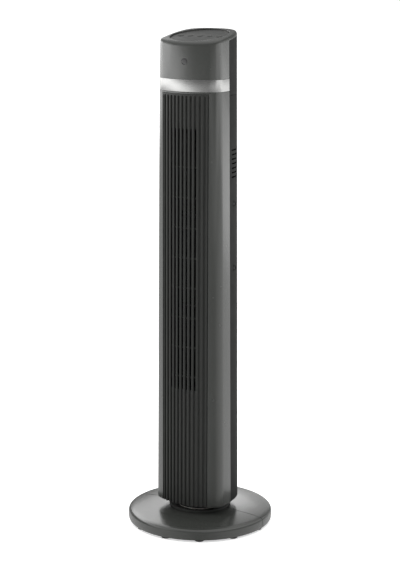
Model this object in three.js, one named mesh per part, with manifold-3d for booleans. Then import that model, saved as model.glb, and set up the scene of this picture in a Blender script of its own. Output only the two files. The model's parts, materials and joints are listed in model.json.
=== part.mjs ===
// Tower fan: a ribbed tower with a cross-flow drum inside, a raked control head with an
// aluminium band under it, and a round pedestal on which the tower swings from side to side.
// Millimetres, +Z up. The air outlet faces -Y. The origin is on the floor, on the swing axis.

import * as THREE from 'three';
import { mergeVertices } from 'three/addons/utils/BufferGeometryUtils.js';
import Module from 'manifold-3d';

const wasm = await Module();
wasm.setup();

// ---------------------------------------------------------------- driving dimensions

const GAP = 0.3;               // clearance between neighbouring pieces
const WALL = 2.5;              // moulded shell thickness
const FAR = 400;               // half size of the blocks that halve a shell

// pedestal
const BASE_RADIUS = 150;
const BASE_WALL_BOTTOM = 4;
const PLATE = { radius: 141.5, bottom: 5, top: 7.5 };
const FOOT = { count: 12, ring: 136.5, radius: 9.5, pad: 3.6, spigot: 4 };
const COLLAR = { radius: 63, bottom: 31, seat: 34, top: 37.5, bore: 24.5 };
const POST = { radius: 22, bore: 14, flange: 48, flangeTop: 11.5, top: 60 };
const POST_SCREW = { count: 4, ring: 38, head: 4.2, shank: 2 };
const NECK = { radius: 48, bottom: 36.8 };

// swing gears: a fixed wheel on the post, and a pinion that walks round it
const MODULE = 1.5;
const WHEEL_TEETH = 40;
const PINION_TEETH = 10;
const GEAR_BOTTOM = 53.4;
const GEAR_TOP = 59.8;
const PINION_Y = MODULE * (WHEEL_TEETH + PINION_TEETH) / 2;
const SWING_MOTOR = { radius: 24.5, edge: 1.5, shaft: 2.5, bottom: 64.6, top: 82.5 };
const BRACKET = { half: 41, leg: 5, bottom: 53.6, plate: 61.4, top: 64.2 };

// tower outline, at its foot: a shallow front arc, round corners, flat sides, a full back
const HALF_WIDTH = 78;
const FRONT = 75;              // from the swing axis to the front
const REAR = 72;               // from the swing axis to the back
const PANEL_HALF = 55;         // half width of the shallow front arc
const FRONT_SAG = 14;          // how far the arc falls back at its ends
const CORNER = 22;             // radius between the front panel and the side
const REAR_POWER = 3.0;        // exponent of the back's superellipse
const SEAM_Y = -6;             // joint between the front and rear mouldings

// heights
const TOWER_BOTTOM = 50;
const REAR_SHELL_TOP = 893.7;
const FRONT_SHELL_TOP = 902.9;
const BAND = { bottom: 903.2, top: 927.7, thickness: 1.4 };
const HEAD_BOTTOM = 928;
const TOP_FRONT = 1001;        // front edge of the raked top
const RAKE = THREE.MathUtils.degToRad(10);
const TOP_ROUND = 8;           // rounding of the top's edge
const RIM_DEPTH = 9;           // the top rim that closes over the rear cover

// the tower narrows a little towards its top
const FLARE = { from: TOWER_BOTTOM, to: 1000, side: 7, depth: 0.1 };
const depthScale = (z) => 1 - FLARE.depth * (z - FLARE.from) / (FLARE.to - FLARE.from);
const sideAt = (z) => HALF_WIDTH - FLARE.side * (z - FLARE.from) / (FLARE.to - FLARE.from);

// front grille
const RIB_COUNT = 12;
const RIB_PITCH = 9.1;
const RIB_WIDTH = 5.4;
const GRILLE_HALF = 52.8;
const GRILLE_TOP = 899.2;
const GRILLE_DEPTH = 6;
const GROOVE_DEPTH = 4;
const OUTLET = { bottom: 295, top: 830, half: 32, gaps: 7 };
const CROSS_BAR = { count: 8, first: 323, pitch: 61.4, height: 3 };

// back of the tower
const INTAKE = { bottom: 300, top: 816, tiers: 4, bar: 10, columns: 10, pitch: 8.5, width: 4.5 };
const FLANK = { bottom: 727.2, rows: 7, pitch: 9.1, height: 3, front: 4, rear: 34 };
const SHELL_SCREW = { y: 15, heights: [673.6, 541.7], head: 3, shank: 1.5, bore: 3.6, boss: 6 };

// blower
const DRUM = { y: 3, radius: 41.5, inner: 31, bottom: 276, top: 841, blades: 12, discs: 3 };
const DECK = { lower: 262, upper: 852, thickness: 4 };
const DUCT_WALL = 2;
const MOTOR = { radius: 40, bottom: 176, top: 241.7, shaft: 4 };
const STUB = { radius: 3, bottom: 837, top: 866 };

// control head, in the frame of the raked top: z is height over the rim
const OVAL = { x: 61, y: 57, centre: -1.5, recess: 2.6, plate: 2.3, ledge: 3 };
const BUTTON = { radius: 6, flange: 7.4, pitch: 22, proud: 1, y: 0 };
const BUTTON_NAMES = ['power', 'speed', 'mode', 'swing', 'timer'];
const BOARD = { top: -11, thickness: 1.5, x: 52, y: 34 };
const IR = { radius: 6, x: 4, z: 963, thickness: 3 };

// ---------------------------------------------------------------- materials

const finish = (color, roughness, metalness = 0) => () =>
  new THREE.MeshStandardMaterial({ color, roughness, metalness });
const glossGrey = finish(0x5d5f5f, 0.25);
const satinGrey = finish(0x4c4e4e, 0.4);
const matteGrey = finish(0x383a3a, 0.7);
const brushedAluminium = finish(0xc4c4c2, 0.3, 1);
const blackPlastic = finish(0x191a1b, 0.6);
const whitePlastic = finish(0xd9d9d3, 0.5);
const steel = finish(0x9a9c9e, 0.35, 1);
const castAluminium = finish(0xa6a8aa, 0.5, 1);
const bronze = finish(0xa9824a, 0.35, 1);
const rubber = finish(0x161616, 0.9);
const laminate = finish(0x1f5a34, 0.5);

// ---------------------------------------------------------------- solids

/** Turns closed three.js geometry into a solid, with its faces pointing out. */
function solid(geometry) {
  const bare = geometry.clone();
  bare.deleteAttribute('normal');
  bare.deleteAttribute('uv');
  const merged = mergeVertices(bare);
  const points = merged.attributes.position.array;
  const corner = (i) => new THREE.Vector3().fromArray(points, 3 * i);
  const triangles = [];
  let volume = 0;
  for (let i = 0; i < merged.index.count; i += 3) {
    const [a, b, c] = [0, 1, 2].map((k) => merged.index.getX(i + k));
    if (a === b || b === c || c === a) continue;
    triangles.push([a, b, c]);
    volume += corner(a).dot(corner(b).cross(corner(c)));
  }
  const outward = volume > 0 ? triangles : triangles.map(([a, b, c]) => [a, c, b]);
  return new wasm.Manifold(new wasm.Mesh({
    numProp: 3,
    vertProperties: Float32Array.from(points),
    triVerts: Uint32Array.from(outward.flat()),
  }));
}

const join = (...solids) => solids.flat().reduce((sum, next) => sum.add(next));
const cut = (body, ...tools) => tools.flat().reduce((rest, tool) => rest.subtract(tool), body);

/** A box given by its lowest and highest corners. */
function box(low, high) {
  const size = high.map((value, i) => value - low[i]);
  const middle = high.map((value, i) => (value + low[i]) / 2);
  return solid(new THREE.BoxGeometry(...size).translate(...middle));
}

/** A body of revolution about Z from [radius, height] pairs; the profile closes on itself. */
function turned(profile, segments = 32) {
  const points = [...profile, profile[0]].map(([r, z]) => new THREE.Vector2(r, z));
  return solid(new THREE.LatheGeometry(points, segments).rotateX(Math.PI / 2));
}

const ring = (inner, outer, bottom, top, segments) =>
  turned([[inner, bottom], [outer, bottom], [outer, top], [inner, top]], segments);
const disc = (radius, bottom, top, segments) => ring(0, radius, bottom, top, segments);

/** The same solid moved by a three.js transform. */
function moved(body, matrix) {
  return solid(geometryOf(body).applyMatrix4(matrix));
}

const shifted = (body, x, y, z = 0) => body.translate([x, y, z]);

/** A flat outline of THREE.Vector2 points raised from one height to another. */
function raised(points, bottom, top) {
  const shape = new THREE.Shape(points);
  const geometry = new THREE.ExtrudeGeometry(shape, { depth: top - bottom, bevelEnabled: false });
  return solid(geometry.translate(0, 0, bottom));
}

/** A wall of even thickness along an open line of [x, y] points. */
function strip(line, thickness, bottom, top) {
  const points = line.map(([x, y]) => new THREE.Vector2(x, y));
  const side = (sign) => points.map((point, i) => {
    const before = points[Math.max(i - 1, 0)];
    const after = points[Math.min(i + 1, points.length - 1)];
    const along = after.clone().sub(before).normalize();
    const across = new THREE.Vector2(-along.y, along.x);
    return point.clone().addScaledVector(across, sign * thickness / 2);
  });
  return raised([...side(1), ...side(-1).reverse()], bottom, top);
}

function geometryOf(body) {
  const mesh = body.getMesh();
  const geometry = new THREE.BufferGeometry();
  geometry.setAttribute('position', new THREE.BufferAttribute(mesh.vertProperties, 3));
  geometry.setIndex(new THREE.BufferAttribute(mesh.triVerts, 1));
  return geometry;
}

function piece(name, material, body) {
  const geometry = geometryOf(body);
  geometry.computeVertexNormals();
  const mesh = new THREE.Mesh(geometry, material());
  mesh.name = name;
  return mesh;
}

/** The points of count copies spread round a circle, each as [angle, x, y]. */
function around(count, radius) {
  return Array.from({ length: count }, (_, i) => {
    const angle = 2 * Math.PI * i / count;
    return [angle, radius * Math.cos(angle), radius * Math.sin(angle)];
  });
}

// ---------------------------------------------------------------- tower section

/** Half of the tower's outline, front to back on the +X side, as [point, normal] pairs. */
function halfOutline() {
  const arc = (PANEL_HALF ** 2 + FRONT_SAG ** 2) / (2 * FRONT_SAG);
  const edge = Math.asin(PANEL_HALF / arc);
  const turn = Math.PI / 2 - edge;
  const run = (HALF_WIDTH - PANEL_HALF) / Math.cos(edge);
  const cornerY = -FRONT + FRONT_SAG + run * Math.sin(edge) + CORNER * Math.tan(turn / 2);
  const backDepth = REAR - cornerY;
  const spread = (count, from, to) =>
    Array.from({ length: count + 1 }, (_, i) => from + (to - from) * i / count);

  const front = spread(5, 0, edge).map((a) => {
    const normal = new THREE.Vector2(Math.sin(a), -Math.cos(a));
    return [new THREE.Vector2(0, arc - FRONT).addScaledVector(normal, arc), normal];
  });
  const corner = spread(4, -turn, 0).map((a) => {
    const normal = new THREE.Vector2(Math.cos(a), Math.sin(a));
    return [new THREE.Vector2(HALF_WIDTH - CORNER, cornerY).addScaledVector(normal, CORNER), normal];
  });
  const back = spread(7, 0, Math.PI / 2).slice(1).map((a) => {
    const x = Math.cos(a) ** (2 / REAR_POWER);
    const y = Math.sin(a) ** (2 / REAR_POWER);
    const normal = new THREE.Vector2(
      x ** (REAR_POWER - 1) / HALF_WIDTH, y ** (REAR_POWER - 1) / backDepth);
    return [new THREE.Vector2(HALF_WIDTH * x, cornerY + backDepth * y), normal.normalize()];
  });
  return [...front, ...corner, ...back];
}

/** The tower's closed outline, moved in from the outer face by inset. */
function outline(inset = 0) {
  const right = halfOutline().map(([point, normal]) =>
    point.clone().addScaledVector(normal, -inset));
  const left = right.slice(1, -1).reverse().map(({ x, y }) => new THREE.Vector2(-x, y));
  return [...right, ...left];
}

/** Narrows geometry towards the top of the tower. */
function flared(geometry) {
  const position = geometry.attributes.position;
  for (let i = 0; i < position.count; i += 1) {
    const x = position.getX(i);
    const rise = (position.getZ(i) - FLARE.from) / (FLARE.to - FLARE.from);
    const beyond = Math.max(Math.abs(x) - PANEL_HALF, 0) / (HALF_WIDTH - PANEL_HALF);
    position.setX(i, x - Math.sign(x) * beyond * FLARE.side * rise);
    position.setY(i, position.getY(i) * depthScale(position.getZ(i)));
  }
  return geometry;
}

function towerSolid(inset, bottom, top) {
  const shape = new THREE.Shape(outline(inset));
  const geometry = new THREE.ExtrudeGeometry(shape, { depth: top - bottom, bevelEnabled: false });
  return solid(flared(geometry.translate(0, 0, bottom)));
}

/** A band of the tower's wall between two insets. */
const towerWall = (outer, inner, bottom, top) =>
  towerSolid(outer, bottom, top).subtract(towerSolid(inner, bottom - 1, top + 1));

/** The head's solid: the same section, its top raked and its top edge rounded. */
function headSolid(inset, lower, round) {
  const shape = new THREE.Shape(outline(inset));
  const bottom = REAR_SHELL_TOP - 20;
  const depth = TOP_FRONT - lower - bottom - 2 * round;
  const geometry = new THREE.ExtrudeGeometry(shape, {
    depth, bevelThickness: round, bevelSize: round, bevelOffset: -round, bevelSegments: 2,
  }).translate(0, 0, bottom + round);
  const position = geometry.attributes.position;
  for (let i = 0; i < position.count; i += 1) {
    const z = position.getZ(i);
    const lift = (position.getY(i) + FRONT) * depthScale(TOP_FRONT) * Math.tan(RAKE);
    if (z > bottom + 2 * round) position.setZ(i, z + lift);
  }
  return solid(flared(geometry));
}

const frontHalf = box([-FAR, -FAR, 0], [FAR, SEAM_Y - GAP / 2, 3 * FAR]);
const rearHalf = box([-FAR, SEAM_Y + GAP / 2, 0], [FAR, FAR, 3 * FAR]);

// ---------------------------------------------------------------- pedestal

/** The dished shell of the pedestal, with the ledge that carries the collar ring. */
function baseShell() {
  const inner = COLLAR.radius + GAP;
  const ledge = COLLAR.bottom - GAP;
  return turned([
    [147.5, BASE_WALL_BOTTOM], [BASE_RADIUS, 8], [BASE_RADIUS, 20], [148.4, 24.6], [144, 27.2],
    [110, 30.8], [inner, 33.4], [inner, ledge], [50, ledge], [50, ledge - WALL], [110, 28.1],
    [143, 24.6], [147.4, 19.5], [147.4, 8.6], [145, BASE_WALL_BOTTOM],
  ], 60);
}

function baseHalves() {
  const shell = baseShell();
  const front = box([-FAR, -FAR, 0], [FAR, -GAP / 2, FAR]);
  const rear = box([-FAR, GAP / 2, 0], [FAR, FAR, FAR]);
  const glandHole = moved(disc(6.5 + GAP, -20, 20, 20), GLAND_PLACE);
  return [
    piece('base_front_half', glossGrey, shell.intersect(front)),
    piece('base_rear_half', glossGrey, cut(shell.intersect(rear), glandHole)),
  ];
}

const GLAND_PLACE = new THREE.Matrix4()
  .makeTranslation(0, BASE_RADIUS - 3, 14)
  .multiply(new THREE.Matrix4().makeRotationX(-Math.PI / 2));

function cableGland() {
  const sleeve = turned([[3.6, -5], [8, -5], [8, -3], [6.5, -3], [6.5, 3], [3.6, 3]], 20);
  return piece('cable_gland', rubber, moved(sleeve, GLAND_PLACE));
}

function ballastPlate() {
  const spigots = around(FOOT.count, FOOT.ring).map(([, x, y]) =>
    shifted(disc(FOOT.spigot + GAP, 0, 20, 8), x, y));
  const screws = around(POST_SCREW.count, POST_SCREW.ring).map(([, x, y]) =>
    shifted(disc(POST_SCREW.shank + GAP, 0, 20, 8), x, y));
  const plate = ring(POST.bore, PLATE.radius, PLATE.bottom, PLATE.top, 48);
  return piece('ballast_plate', steel, cut(plate, spigots, screws));
}

function feet() {
  return around(FOOT.count, FOOT.ring).map(([, x, y], i) => {
    const foot = turned([
      [0, 0], [FOOT.radius, 0], [FOOT.radius, FOOT.pad], [FOOT.spigot, FOOT.pad],
      [FOOT.spigot, PLATE.top + 2], [0, PLATE.top + 2],
    ], 8);
    return piece(`foot_${String(i + 1).padStart(2, '0')}`, rubber, shifted(foot, x, y));
  });
}

function swivelPost() {
  const post = turned([
    [POST.bore, PLATE.top + GAP], [POST.flange, PLATE.top + GAP], [POST.flange, POST.flangeTop],
    [POST.radius + 4, POST.flangeTop], [POST.radius, POST.flangeTop + 6], [POST.radius, POST.top],
    [POST.bore, POST.top],
  ], 28);
  const holes = around(POST_SCREW.count, POST_SCREW.ring).map(([, x, y]) =>
    shifted(disc(POST_SCREW.shank + GAP, 0, 20, 8), x, y));
  return piece('swivel_post', blackPlastic, cut(post, holes));
}

function postScrews() {
  const top = POST.flangeTop + GAP;
  return around(POST_SCREW.count, POST_SCREW.ring).map(([, x, y], i) => {
    const screw = turned([
      [0, PLATE.bottom - 0.5], [POST_SCREW.shank, PLATE.bottom - 0.5], [POST_SCREW.shank, top],
      [POST_SCREW.head, top], [POST_SCREW.head, top + 1.6], [0, top + 2.6],
    ], 8);
    return piece(`post_screw_${i + 1}`, steel, shifted(screw, x, y));
  });
}

function collarRing() {
  return piece('collar_ring', satinGrey, turned([
    [COLLAR.bore, COLLAR.bottom], [COLLAR.radius, COLLAR.bottom], [COLLAR.radius, COLLAR.top - 1.2],
    [COLLAR.radius - 1.4, COLLAR.top], [COLLAR.radius - 5, COLLAR.top],
    [COLLAR.radius - 8, COLLAR.seat], [COLLAR.bore, COLLAR.seat],
  ], 40));
}

function bearingWasher() {
  return piece('bearing_washer', whitePlastic,
    ring(COLLAR.bore + 1.5, NECK.radius - 2, COLLAR.seat + GAP, NECK.bottom - GAP, 28));
}

// ---------------------------------------------------------------- swing drive

/** A spur gear with straight-flanked teeth. */
function gear(teeth, bore, bottom, top, turn = 0) {
  const pitchRadius = MODULE * teeth / 2;
  const tip = pitchRadius + 0.85 * MODULE;
  const root = pitchRadius - 1.15 * MODULE;
  const step = 2 * Math.PI / teeth;
  const points = Array.from({ length: teeth }, (_, i) => [
    [root, -0.36], [tip, -0.12], [tip, 0.12], [root, 0.36],
  ].map(([r, share]) => {
    const angle = turn + (i + share) * step;
    return new THREE.Vector2(r * Math.cos(angle), r * Math.sin(angle));
  })).flat();
  const wheel = raised(points, bottom, top);
  return bore ? wheel.subtract(disc(bore, bottom - 1, top + 1, 28)) : wheel;
}

function swingDrive() {
  const { radius, edge, shaft, bottom, top } = SWING_MOTOR;
  const leg = box([-BRACKET.leg / 2, -10, BRACKET.bottom], [BRACKET.leg / 2, 10, BRACKET.plate + 0.6]);
  const wheel = gear(WHEEL_TEETH, POST.radius + GAP, GEAR_BOTTOM, GEAR_TOP);
  const halfTooth = Math.PI / PINION_TEETH;
  const pinion = join(
    gear(PINION_TEETH, 0, GEAR_BOTTOM + GAP, GEAR_TOP, -Math.PI / 2 + halfTooth),
    disc(shaft, GEAR_TOP - 1, bottom + 3.4, 16),
  );
  const motor = cut(
    turned([
      [0, bottom], [radius - edge, bottom], [radius, bottom + edge],
      [radius, top - edge], [radius - edge, top], [0, top],
    ], 24),
    disc(shaft + 0.4, bottom - 4, bottom + 4.4, 16),
  );
  const bracket = cut(
    join(
      box([-BRACKET.half, PINION_Y - 24, BRACKET.plate], [BRACKET.half, PINION_Y + 14, BRACKET.top]),
      ...[-1, 1].map((sign) => shifted(leg, sign * (BRACKET.half - BRACKET.leg / 2), PINION_Y)),
    ),
    shifted(disc(6, 50, 70, 20), 0, PINION_Y),
    disc(POST.radius + 1, 50, 70, 24),
  );
  return {
    wheel: piece('ring_gear', whitePlastic, wheel),
    pinion: piece('swing_pinion', whitePlastic, shifted(pinion, 0, PINION_Y)),
    motor: piece('swing_motor', steel, shifted(motor, 0, PINION_Y)),
    bracket: piece('swing_motor_bracket', steel, bracket),
  };
}

// ---------------------------------------------------------------- tower mouldings

const PAN = { half: GRILLE_HALF + 3, depth: GRILLE_DEPTH + GAP + 2.2, back: -40 };

/** The block in front of the pan where the ribbed grille sits. */
function grillePocket() {
  const slab = box([-GRILLE_HALF - GAP, -FAR, 0], [GRILLE_HALF + GAP, SEAM_Y, GRILLE_TOP + GAP]);
  return cut(slab, towerSolid(GRILLE_DEPTH + GAP, TOWER_BOTTOM - 2, FRONT_SHELL_TOP));
}

function frontShell() {
  const skin = towerWall(0, WALL, TOWER_BOTTOM, FRONT_SHELL_TOP).intersect(frontHalf);
  const pan = towerWall(0, PAN.depth, TOWER_BOTTOM, FRONT_SHELL_TOP)
    .intersect(box([-PAN.half, -FAR, 0], [PAN.half, PAN.back, 3 * FAR]));
  const outlet = box([-OUTLET.half, -FAR, OUTLET.bottom - 1], [OUTLET.half, SEAM_Y - 20, OUTLET.top + 1]);
  return piece('front_shell', glossGrey, cut(join(skin, pan), grillePocket(), outlet));
}

/** The ribbed panel: grooves all the way down, open between the ribs along the outlet. */
function frontGrille() {
  const bottom = TOWER_BOTTOM + GAP;
  const panel = towerWall(0, GRILLE_DEPTH, bottom, GRILLE_TOP)
    .intersect(box([-GRILLE_HALF, -FAR, 0], [GRILLE_HALF, SEAM_Y - 20, 3 * FAR]));
  const core = towerSolid(GROOVE_DEPTH, bottom - 5, GRILLE_TOP + 5);
  const grooveHalf = (RIB_PITCH - RIB_WIDTH) / 2;
  const slot = (i, low, high) =>
    box([i * RIB_PITCH - grooveHalf, -FAR, low], [i * RIB_PITCH + grooveHalf, SEAM_Y - 20, high]);
  const reach = (RIB_COUNT - 2) / 2;
  const grooves = [];
  const gaps = [];
  for (let i = -reach; i <= reach; i += 1) {
    grooves.push(slot(i, 0, GRILLE_TOP - 4));
    if (Math.abs(i) <= (OUTLET.gaps - 1) / 2) gaps.push(slot(i, OUTLET.bottom, OUTLET.top));
  }
  const bars = [];
  const barHalf = RIB_PITCH * OUTLET.gaps / 2;
  for (let i = 0; i < CROSS_BAR.count; i += 1) {
    const z = CROSS_BAR.first + i * CROSS_BAR.pitch;
    bars.push(box([-barHalf, -FAR, z - CROSS_BAR.height / 2],
      [barHalf, SEAM_Y - 20, z + CROSS_BAR.height / 2]));
  }
  const barWall = towerWall(GROOVE_DEPTH + 0.4, GRILLE_DEPTH - 0.4, OUTLET.bottom, OUTLET.top);
  const grooved = cut(panel, cut(join(grooves), core));
  return piece('front_grille', satinGrey,
    join(cut(grooved, gaps), join(bars).intersect(barWall)));
}

/** Puts a body of revolution on the tower's side, its +Z pointing out along X. */
function onSide(body, sign, z, y = SHELL_SCREW.y) {
  const place = new THREE.Matrix4().makeTranslation(sign * sideAt(z), y, z)
    .multiply(new THREE.Matrix4().makeRotationY(sign * Math.PI / 2));
  return moved(body, place);
}

function rearShell() {
  const slots = [];
  const tier = (INTAKE.top - INTAKE.bottom + INTAKE.bar) / INTAKE.tiers;
  for (let row = 0; row < INTAKE.tiers; row += 1) {
    const z = INTAKE.bottom + row * tier;
    for (let column = 0; column < INTAKE.columns; column += 1) {
      const x = (column - (INTAKE.columns - 1) / 2) * INTAKE.pitch;
      const half = INTAKE.width / 2;
      slots.push(box([x - half, 40, z], [x + half, FAR, z + tier - INTAKE.bar]));
    }
  }
  for (let row = 0; row < FLANK.rows; row += 1) {
    const z = FLANK.bottom + row * FLANK.pitch;
    slots.push(box([-FAR, FLANK.front, z], [-60, FLANK.rear, z + FLANK.height]));
    slots.push(box([60, FLANK.front, z], [FAR, FLANK.rear, z + FLANK.height]));
  }
  const bosses = [];
  const bores = [];
  for (const z of SHELL_SCREW.heights) {
    for (const sign of [-1, 1]) {
      bosses.push(onSide(disc(SHELL_SCREW.boss, -9, -1, 8), sign, z));
      bores.push(onSide(disc(SHELL_SCREW.bore, -4, 5, 12), sign, z));
      bores.push(onSide(disc(SHELL_SCREW.shank + GAP, -20, 0, 8), sign, z));
    }
  }
  const skin = towerWall(0, WALL, TOWER_BOTTOM, REAR_SHELL_TOP).intersect(rearHalf);
  return piece('rear_shell', matteGrey, cut(join(skin, bosses), slots, bores));
}

function shellScrews() {
  const { head, shank, heights } = SHELL_SCREW;
  const screw = turned([
    [0, -12], [shank, -12], [shank, -3.7], [head, -3.7], [head, -1.9], [0, -1.3],
  ], 8);
  const sides = [['left', -1], ['right', 1]];
  return heights.flatMap((z, row) => sides.map(([side, sign]) =>
    piece(`shell_screw_${side}_${row + 1}`, steel, onSide(screw, sign, z))));
}

/** A plate that fills the tower inside its shells and clears the pan behind the grille. */
function innerPlate(bottom, top) {
  const wide = towerSolid(WALL + GAP, bottom, top)
    .intersect(box([-FAR, PAN.back + GAP, 0], [FAR, FAR, 3 * FAR]));
  return wide.add(towerSolid(PAN.depth + GAP, bottom, top));
}

function towerBottomCap() {
  const plate = innerPlate(TOWER_BOTTOM + GAP, TOWER_BOTTOM + 3);
  const neck = disc(NECK.radius, NECK.bottom, TOWER_BOTTOM + 1, 32);
  const bore = disc(COLLAR.bore, 0, 100, 28);
  return piece('tower_bottom_cap', blackPlastic, cut(join(plate, neck), bore));
}

// ---------------------------------------------------------------- blower

function lowerDeck() {
  const { lower, thickness } = DECK;
  const plate = innerPlate(lower, lower + thickness);
  const bosses = around(4, 30).map(([, x, y]) =>
    shifted(disc(4, MOTOR.top + GAP, lower + 1, 8), x, DRUM.y + y));
  const hole = shifted(disc(15, 0, FAR, 24), 0, DRUM.y);
  return piece('lower_deck', blackPlastic, cut(join(plate, bosses), hole));
}

function upperDeck() {
  const { upper, thickness } = DECK;
  const plate = innerPlate(upper, upper + thickness);
  const seat = shifted(disc(17, upper, upper + 10, 28), 0, DRUM.y);
  const bore = shifted(disc(13 + GAP, upper - 5, upper + 20, 28), 0, DRUM.y);
  return piece('upper_deck', blackPlastic, cut(join(plate, seat), bore));
}

/** The walls that lead the air from the drum to the outlet. */
function ductWalls() {
  const bottom = DECK.lower + DECK.thickness + GAP;
  const top = DECK.upper - GAP;
  const start = THREE.MathUtils.degToRad(70);
  const end = THREE.MathUtils.degToRad(234);
  const scroll = Array.from({ length: 11 }, (_, i) => {
    const share = i / 10;
    const angle = start + (end - start) * share;
    const radius = DRUM.radius + 4 + 14 * share ** 1.5;
    return [radius * Math.cos(angle), DRUM.y + radius * Math.sin(angle)];
  });
  scroll.push([-34, -53.5]);
  const tongue = [[34, -53.5], [39, -40], [39, -30], [38.5, -24], [44, -19], [54, -14], [66, -11]];
  return [
    piece('duct_scroll', blackPlastic, strip(scroll, DUCT_WALL, bottom, top)),
    piece('duct_tongue', blackPlastic, strip(tongue, DUCT_WALL, bottom, top)),
  ];
}

function drum() {
  const { radius, inner, bottom, top, blades, discs } = DRUM;
  const thickness = 3;
  const facets = 2 * blades;
  const parts = [
    disc(radius, bottom, bottom + thickness, facets),
    disc(radius, top - thickness, top, facets),
    disc(12, bottom - 8, bottom + 1, 20),
    disc(8, top - 1, top + 5, 20),
  ];
  for (let i = 1; i < discs; i += 1) {
    const z = bottom + (top - bottom) * i / discs;
    parts.push(ring(inner - 2, radius, z - 1, z + 1, facets));
  }
  for (const [angle] of around(blades, radius)) {
    const blade = box([inner, -0.6, bottom + 1], [radius - 0.6, 0.6, top - 1]);
    const lean = THREE.MathUtils.degToRad(24);
    const middle = (inner + radius) / 2;
    const place = new THREE.Matrix4().makeRotationZ(angle)
      .multiply(new THREE.Matrix4().makeTranslation(middle, 0, 0))
      .multiply(new THREE.Matrix4().makeRotationZ(lean))
      .multiply(new THREE.Matrix4().makeTranslation(-middle, 0, 0));
    parts.push(moved(blade, place));
  }
  const bores = [
    disc(MOTOR.shaft + GAP, bottom - 20, bottom + 1.5, 20),
    disc(STUB.radius + GAP, STUB.bottom - GAP, top + 20, 20),
  ];
  return piece('impeller_drum', blackPlastic, shifted(cut(join(parts), bores), 0, DRUM.y));
}

function motorPieces() {
  const { radius, bottom, top, shaft } = MOTOR;
  const inner = radius - 2;
  const housing = turned([
    [8, top - 2], [inner, top - 2], [inner, bottom + 4], [radius, bottom + 4], [radius, top],
    [8, top],
  ], 28);
  const cap = ring(shaft + GAP, radius, bottom, bottom + 4 - GAP, 28);
  const stator = ring(27, inner - 2 * GAP, bottom + 14, top - 12, 28);
  const rotor = turned([
    [0, bottom - 4], [shaft, bottom - 4], [shaft, bottom + 16], [26, bottom + 16], [26, top - 14],
    [shaft, top - 14], [shaft, DRUM.bottom + 1], [0, DRUM.bottom + 1],
  ], 20);
  return {
    fixed: [
      piece('motor_housing', steel, shifted(housing, 0, DRUM.y)),
      piece('motor_end_cap', castAluminium, shifted(cap, 0, DRUM.y)),
      piece('motor_stator', steel, shifted(stator, 0, DRUM.y)),
    ],
    rotor: piece('motor_rotor', steel, shifted(rotor, 0, DRUM.y)),
  };
}

function topBearing() {
  const { upper } = DECK;
  const shaft = disc(STUB.radius, STUB.bottom, STUB.top, 20);
  const bush = ring(STUB.radius + GAP, 7, upper, upper + 10, 20);
  const grommet = ring(7 + GAP, 13, upper, upper + 10, 24);
  return {
    shaft: piece('stub_shaft', steel, shifted(shaft, 0, DRUM.y)),
    fixed: [
      piece('bearing_bush', bronze, shifted(bush, 0, DRUM.y)),
      piece('bearing_grommet', rubber, shifted(grommet, 0, DRUM.y)),
    ],
  };
}

function motorCapacitor() {
  return piece('motor_capacitor', whitePlastic, box([-20, -46, 120], [20, -30, 150]));
}

// ---------------------------------------------------------------- head

function metalBand() {
  const strap = towerWall(0, BAND.thickness, BAND.bottom, BAND.top).intersect(frontHalf);
  return piece('metal_band', brushedAluminium, strap);
}

/** The frame of the raked top: its origin on the rim over the oval's centre. */
const TOP_PLACE = new THREE.Matrix4()
  .makeTranslation(0, OVAL.centre,
    TOP_FRONT + (OVAL.centre + FRONT * depthScale(TOP_FRONT)) * Math.tan(RAKE))
  .multiply(new THREE.Matrix4().makeRotationX(RAKE));

function ovalBlock(grow, bottom, top) {
  const shape = new THREE.Shape();
  shape.absellipse(0, 0, OVAL.x + grow, OVAL.y + grow, 0, 2 * Math.PI);
  const depth = top - bottom;
  const geometry = new THREE.ExtrudeGeometry(shape, { depth, bevelEnabled: false, curveSegments: 20 });
  return solid(geometry.translate(0, 0, bottom));
}

const LEDGE_TOP = -OVAL.recess - OVAL.plate - GAP;

function headFrontShell() {
  const hollow = headSolid(WALL, WALL, TOP_ROUND - WALL);
  const shell = cut(headSolid(0, 0, TOP_ROUND), hollow);
  const sheared = (body, low, high) => {
    const slab = new THREE.BoxGeometry(2 * FAR, 2 * FAR, high - low).translate(0, 0, (high + low) / 2);
    return body.intersect(solid(slab.applyMatrix4(TOP_PLACE)));
  };
  const rim = sheared(shell, -RIM_DEPTH, 60);
  const face = shell.intersect(frontHalf).intersect(box([-FAR, -FAR, HEAD_BOTTOM], [FAR, FAR, 3 * FAR]));
  const skirt = towerWall(BAND.thickness + GAP, BAND.thickness + GAP + WALL, BAND.bottom, HEAD_BOTTOM + 1)
    .intersect(frontHalf);
  const tray = moved(cut(ovalBlock(2, LEDGE_TOP - WALL, -1), ovalBlock(-OVAL.ledge, -FAR, FAR)), TOP_PLACE);
  const opening = moved(join(ovalBlock(0, LEDGE_TOP, 20), ovalBlock(-OVAL.ledge, -20, 10)), TOP_PLACE);
  const irHole = irPlaced(disc(IR.radius + GAP, -20, 20, 20));
  return piece('head_front_shell', glossGrey, cut(join(rim, face, skirt, tray), opening, irHole));
}

function headRearCover() {
  const shell = cut(headSolid(0, 0, TOP_ROUND), headSolid(WALL, WALL, TOP_ROUND - WALL));
  const under = new THREE.BoxGeometry(2 * FAR, 2 * FAR, FAR)
    .translate(0, 0, -RIM_DEPTH - GAP - FAR / 2).applyMatrix4(TOP_PLACE);
  const cover = shell.intersect(rearHalf).intersect(solid(under))
    .intersect(box([-FAR, -FAR, REAR_SHELL_TOP + GAP], [FAR, FAR, 3 * FAR]));
  return piece('head_rear_cover', matteGrey, cover);
}

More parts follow.
